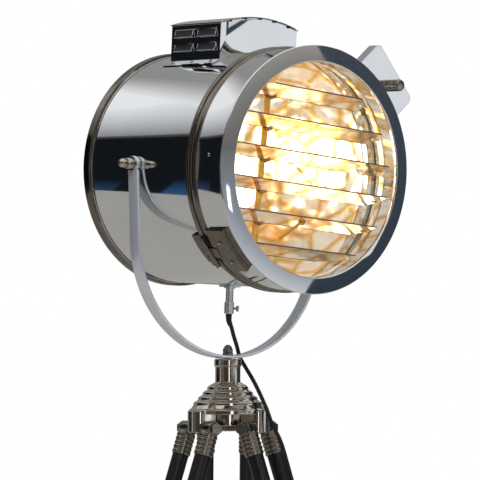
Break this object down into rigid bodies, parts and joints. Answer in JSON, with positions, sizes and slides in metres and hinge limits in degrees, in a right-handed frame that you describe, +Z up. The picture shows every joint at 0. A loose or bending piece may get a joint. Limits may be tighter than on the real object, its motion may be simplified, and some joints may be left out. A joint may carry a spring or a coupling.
{
  "type": "tripod spotlight floor lamp",
  "caption": "Floor lamp with a polished drum-shaped spotlight, louvred shutter and yoke on an adjustable tripod with black legs.",
  "frame": {"origin": "on the floor, under the middle of the lamp's outline as seen from above, with the cord left out", "axes": "+Z up, the lamp house faces -Y, +X to the right of someone who looks along +Y"},
  "size_m": [0.6168, 0.6554, 1.6148],
  "materials": {
    "polished_sheet": "mirror polished and plated",
    "polished_steel": "mirror",
    "nickel_casting": "satin nickel",
    "nickel_hardware": "satin nickel",
    "dark_metal": "blackened",
    "reflector_sheet": "bright, slightly hammered",
    "black_wood": "black satin lacquer",
    "rubber": "matt",
    "black_cord": "matt",
    "white_ceramic": "glazed",
    "warm_glass": "frosted"
  },
  "bodies": {
    "base": {"hub": "nickel_casting", "dome_nut": "nickel_hardware", "leg_bolt_1": "nickel_hardware", "leg_bolt_2": "nickel_hardware", "leg_bolt_3": "nickel_hardware", "cord_run": "black_cord", "cord_coil": "black_cord", "plug": "black_cord"},
    "yoke": {"yoke": "polished_steel"},
    "head": {"drum_shell": "polished_sheet", "vent_box": "polished_sheet", "stem": "polished_steel", "lamp_holder": "white_ceramic", "bulb": "warm_glass", "reflector_bowl": "reflector_sheet", "pivot_nut_left": "nickel_hardware", "pivot_nut_right": "nickel_hardware"},
    "hood": {"hood_shell": "polished_sheet", "latch_box": "polished_sheet", "hinge_plate": "nickel_hardware", "shutter_ring": "polished_sheet"},
    "tie_bar": {"tie_bar": "reflector_sheet"},
    "latch_knob": {"latch_knob": "dark_metal"},
    "stem_screw": {"stem_screw": "nickel_hardware"},
    "slat_1": {"slat_1": "reflector_sheet"},
    "slat_2": {"slat_2": "reflector_sheet"},
    "slat_3": {"slat_3": "reflector_sheet"},
    "slat_4": {"slat_4": "reflector_sheet"},
    "slat_5": {"slat_5": "reflector_sheet", "slat_lever": "dark_metal"},
    "slat_6": {"slat_6": "reflector_sheet"},
    "leg_1": {"ferrule_1a": "nickel_casting", "ferrule_1b": "nickel_casting", "upper_pole_1a": "black_wood", "upper_pole_1b": "black_wood", "leg_clamp_1": "nickel_casting"},
    "lower_leg_1": {"lower_pole_1": "black_wood", "foot_cap_1": "nickel_casting", "foot_1": "rubber"},
    "knob_1": {"leg_knob_1": "nickel_hardware"},
    "leg_2": {"ferrule_2a": "nickel_casting", "ferrule_2b": "nickel_casting", "upper_pole_2a": "black_wood", "upper_pole_2b": "black_wood", "leg_clamp_2": "nickel_casting"},
    "lower_leg_2": {"lower_pole_2": "black_wood", "foot_cap_2": "nickel_casting", "foot_2": "rubber"},
    "knob_2": {"leg_knob_2": "nickel_hardware"},
    "leg_3": {"ferrule_3a": "nickel_casting", "ferrule_3b": "nickel_casting", "upper_pole_3a": "black_wood", "upper_pole_3b": "black_wood", "leg_clamp_3": "nickel_casting"},
    "lower_leg_3": {"lower_pole_3": "black_wood", "foot_cap_3": "nickel_casting", "foot_3": "rubber"},
    "knob_3": {"leg_knob_3": "nickel_hardware"}
  },
  "joints": [
    {"name": "yoke_swivel", "type": "hinge", "parent": "base", "child": "yoke", "pos_m": [0.06739, 0.02582, 1.045], "axis": [0, 0, 1], "range_deg": [-170, 170], "deforming": ["cord_run"]},
    {"name": "head_tilt", "type": "hinge", "parent": "yoke", "child": "head", "pos_m": [0.06739, 0.02582, 1.36], "axis": [1, 0, 0], "range_deg": [-45, 30], "deforming": ["cord_run"]},
    {"name": "hood_hinge", "type": "hinge", "parent": "head", "child": "hood", "pos_m": [-0.08282, -0.11149, 1.21138], "axis": [0.682, 0.044, -0.73], "range_deg": [0, 100]},
    {"name": "slat_turn_1", "type": "hinge", "parent": "hood", "child": "slat_1", "pos_m": [0.07577, -0.16905, 1.46828], "axis": [-0.9976, -0.0042, 0.0696], "range_deg": [-36, 38]},
    {"name": "slat_turn_2", "type": "hinge", "parent": "hood", "child": "slat_2", "pos_m": [0.07222, -0.16599, 1.41749], "axis": [-0.9976, -0.0042, 0.0696], "range_deg": [-36, 38]},
    {"name": "slat_turn_3", "type": "hinge", "parent": "hood", "child": "slat_3", "pos_m": [0.06866, -0.16292, 1.36671], "axis": [-0.9976, -0.0042, 0.0696], "range_deg": [-36, 38]},
    {"name": "slat_turn_4", "type": "hinge", "parent": "hood", "child": "slat_4", "pos_m": [0.0651, -0.15986, 1.31593], "axis": [-0.9976, -0.0042, 0.0696], "range_deg": [-36, 38]},
    {"name": "slat_turn_5", "type": "hinge", "parent": "hood", "child": "slat_5", "pos_m": [0.06154, -0.1568, 1.26514], "axis": [-0.9976, -0.0042, 0.0696], "range_deg": [-36, 38]},
    {"name": "slat_turn_6", "type": "hinge", "parent": "hood", "child": "slat_6", "pos_m": [0.05799, -0.15374, 1.21436], "axis": [-0.9976, -0.0042, 0.0696], "range_deg": [-36, 38]},
    {"name": "tie_bar_turn", "type": "hinge", "parent": "slat_1", "child": "tie_bar", "pos_m": [0.01527, -0.13715, 1.46503], "axis": [-0.9976, -0.0042, 0.0696], "range_deg": [-38, 36]},
    {"name": "latch_knob_turn", "type": "hinge", "parent": "hood", "child": "latch_knob", "pos_m": [0.24226, -0.17803, 1.49601], "axis": [0, -0.9982, -0.0602], "continuous": true},
    {"name": "stem_screw_turn", "type": "hinge", "parent": "head", "child": "stem_screw", "pos_m": [0.06739, 0.02275, 1.1284], "axis": [0.766, -0.6416, -0.0387], "continuous": true},
    {"name": "leg_fold_1", "type": "hinge", "parent": "base", "child": "leg_1", "pos_m": [0.01246, 0.03374, 0.93], "axis": [-0.1426, -0.9898, 0], "range_deg": [0, 18.2]},
    {"name": "leg_slide_1", "type": "slide", "parent": "leg_1", "child": "lower_leg_1", "axis": [-0.3091, 0.0445, -0.95], "range_m": [-0.15, 0.3]},
    {"name": "leg_knob_turn_1", "type": "hinge", "parent": "leg_1", "child": "knob_1", "pos_m": [-0.18291, 0.06189, 0.32962], "axis": [-0.9403, 0.1355, 0.3123], "continuous": true},
    {"name": "leg_fold_2", "type": "hinge", "parent": "base", "child": "leg_2", "pos_m": [0.08801, -0.02571, 0.93], "axis": [0.9285, 0.3714, 0], "range_deg": [0, 18.2]},
    {"name": "leg_slide_2", "type": "slide", "parent": "leg_2", "child": "lower_leg_2", "axis": [0.116, -0.29, -0.95], "range_m": [-0.15, 0.3]},
    {"name": "leg_knob_turn_2", "type": "hinge", "parent": "leg_2", "child": "knob_2", "pos_m": [0.16131, -0.20899, 0.32962], "axis": [0.3528, -0.882, 0.3123], "continuous": true},
    {"name": "leg_fold_3", "type": "hinge", "parent": "base", "child": "leg_3", "pos_m": [0.10172, 0.06944, 0.93], "axis": [-0.7859, 0.6184, 0], "range_deg": [0, 18.2]},
    {"name": "leg_slide_3", "type": "slide", "parent": "leg_3", "child": "lower_leg_3", "axis": [0.1932, 0.2455, -0.95], "range_m": [-0.15, 0.3]},
    {"name": "leg_knob_turn_3", "type": "hinge", "parent": "leg_3", "child": "knob_3", "pos_m": [0.22379, 0.22456, 0.32962], "axis": [0.5875, 0.7465, 0.3123], "continuous": true}
  ],
  "couplings": [
    {"joint": "slat_turn_2", "follows": "slat_turn_1", "ratio": 1},
    {"joint": "slat_turn_3", "follows": "slat_turn_1", "ratio": 1},
    {"joint": "slat_turn_4", "follows": "slat_turn_1", "ratio": 1},
    {"joint": "slat_turn_5", "follows": "slat_turn_1", "ratio": 1},
    {"joint": "slat_turn_6", "follows": "slat_turn_1", "ratio": 1},
    {"joint": "tie_bar_turn", "follows": "slat_turn_1", "ratio": -1}
  ]
}
